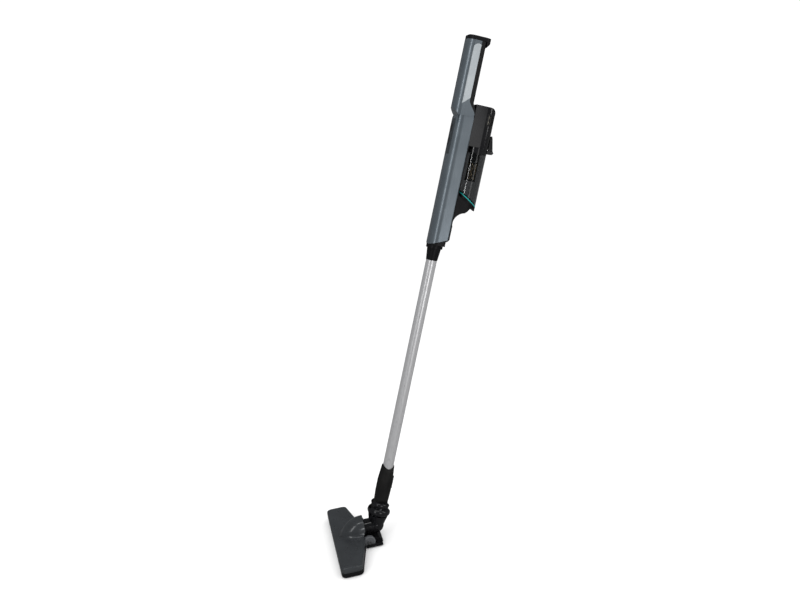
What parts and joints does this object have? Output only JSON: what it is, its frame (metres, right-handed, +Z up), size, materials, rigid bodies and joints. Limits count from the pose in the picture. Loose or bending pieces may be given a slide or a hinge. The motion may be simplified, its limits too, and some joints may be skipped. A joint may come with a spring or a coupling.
{
  "type": "cordless stick vacuum",
  "caption": "Cordless stick vacuum: slim metallic handset with clear rear dust cup, aluminium wand and jointed passive floor head.",
  "frame": {"origin": "on the floor, in the middle of the rear runner under the floor head", "axes": "+Z up, +X from the head's front edge towards the dust cup side, +Y across the head"},
  "size_m": [0.464, 0.275, 1.0029],
  "materials": {
    "grey_shell": "satin metallic",
    "grip_trim": "satin metallic",
    "panel": "fine matt",
    "buttons": "matt",
    "black_plastic": "fine texture",
    "soft_grip": "soft matt",
    "gloss_black": "gloss",
    "grille": "matt",
    "filter_foam": "open foam",
    "filter_paper": "pleated paper",
    "steel": "plain",
    "fan": "matt",
    "duct": "matt",
    "cells": "sleeve film",
    "board": "solder mask",
    "clear_cup": "smoky clear plastic",
    "seal": "soft",
    "tube_alu": "satin anodised",
    "sleeve": "fine leather texture",
    "head_grey": "satin",
    "sole": "matt",
    "bristles": "nylon bristle",
    "wheel_tread": "soft matt"
  },
  "bodies": {
    "handset": {"front_shell": "grey_shell", "side_trim_left": "grip_trim", "side_trim_right": "grip_trim", "front_panel": "panel", "end_cap": "black_plastic", "grip_back": "soft_grip", "rear_spine": "black_plastic", "motor_housing": "gloss_black", "exhaust_grille": "grille", "exhaust_filter": "filter_foam", "motor_can": "steel", "motor_mount": "soft_grip", "inlet_hood": "black_plastic", "air_duct": "duct", "battery_cells": "cells", "battery_holder": "duct", "control_board": "board", "charge_socket": "black_plastic", "handset_screws": "steel", "wand_socket": "black_plastic", "release_spring": "steel"},
    "rotor": {"impeller": "fan", "motor_shaft": "steel"},
    "power_switch": {"power_button": "buttons"},
    "mode_switch": {"mode_button": "buttons"},
    "wand_release": {"release_button": "buttons"},
    "cup": {"dust_cup": "clear_cup", "cup_top_ring": "gloss_black", "cup_seal": "seal", "cup_lid": "black_plastic", "lid_pin": "steel", "filter_frame": "black_plastic", "filter_element": "filter_paper", "latch_pin": "steel"},
    "latch": {"cup_latch": "gloss_black"},
    "wand": {"wand_collar": "black_plastic", "wand_tube": "tube_alu"},
    "neck": {"neck_sleeve": "sleeve", "knuckle_pin": "steel"},
    "neck_release": {"sleeve_button": "buttons"},
    "elbow_arm": {"knuckle": "gloss_black", "elbow": "gloss_black"},
    "head": {"swivel_collar": "black_plastic", "head_cover": "head_grey", "head_base": "black_plastic", "sole_plate": "sole", "bristle_strips": "bristles", "rear_bracket": "black_plastic", "wheel_axles": "steel", "head_screws": "steel"},
    "wheel_left": {"rear_wheel_left": "wheel_tread"},
    "wheel_right": {"rear_wheel_right": "wheel_tread"}
  },
  "joints": [
    {"name": "power_press", "type": "slide", "parent": "handset", "child": "power_switch", "axis": [0.9403, 0, -0.3404], "range_m": [0, 0.0015], "stiffness_N_per_m": 400, "springref_m": -0.001},
    {"name": "mode_press", "type": "slide", "parent": "handset", "child": "mode_switch", "axis": [0.9403, 0, -0.3404], "range_m": [0, 0.0015], "stiffness_N_per_m": 400, "springref_m": -0.001},
    {"name": "wand_release_press", "type": "slide", "parent": "handset", "child": "wand_release", "axis": [-0.9403, 0, 0.3404], "range_m": [0, 0.002], "stiffness_N_per_m": 600, "springref_m": -0.001},
    {"name": "fan_spin", "type": "hinge", "parent": "handset", "child": "rotor", "pos_m": [0.37954, 0, 0.79758], "axis": [0.3404, 0, 0.9403], "continuous": true},
    {"name": "cup_slide", "type": "slide", "parent": "handset", "child": "cup", "axis": [0.617, 0, -0.7869], "range_m": [0, 0.06]},
    {"name": "latch_swing", "type": "hinge", "parent": "cup", "child": "latch", "pos_m": [0.40222, 0, 0.77034], "axis": [0, 1, 0], "range_deg": [0, 60], "stiffness_Nm_per_rad": 0.03, "springref_deg": -20.05},
    {"name": "wand_slide", "type": "slide", "parent": "handset", "child": "wand", "axis": [-0.3404, 0, -0.9403], "range_m": [0, 0.04]},
    {"name": "neck_slide", "type": "slide", "parent": "wand", "child": "neck", "axis": [-0.3404, 0, -0.9403], "range_m": [0, 0.045]},
    {"name": "neck_release_press", "type": "slide", "parent": "neck", "child": "neck_release", "axis": [-0.9403, 0, 0.3404], "range_m": [0, 0.001], "stiffness_N_per_m": 400, "springref_m": -0.001},
    {"name": "neck_pitch", "type": "hinge", "parent": "neck", "child": "elbow_arm", "pos_m": [0.07, 0, 0.07], "axis": [0, -1, 0], "range_deg": [-20, 52]},
    {"name": "head_swivel", "type": "hinge", "parent": "elbow_arm", "child": "head", "pos_m": [0.022, 0, 0.032], "axis": [1, 0, 0], "range_deg": [-40, 40]},
    {"name": "wheel_left_spin", "type": "hinge", "parent": "head", "child": "wheel_left", "pos_m": [0.035, -0.032, 0.0125], "axis": [0, 1, 0], "continuous": true},
    {"name": "wheel_right_spin", "type": "hinge", "parent": "head", "child": "wheel_right", "pos_m": [0.035, 0.032, 0.0125], "axis": [0, 1, 0], "continuous": true}
  ]
}
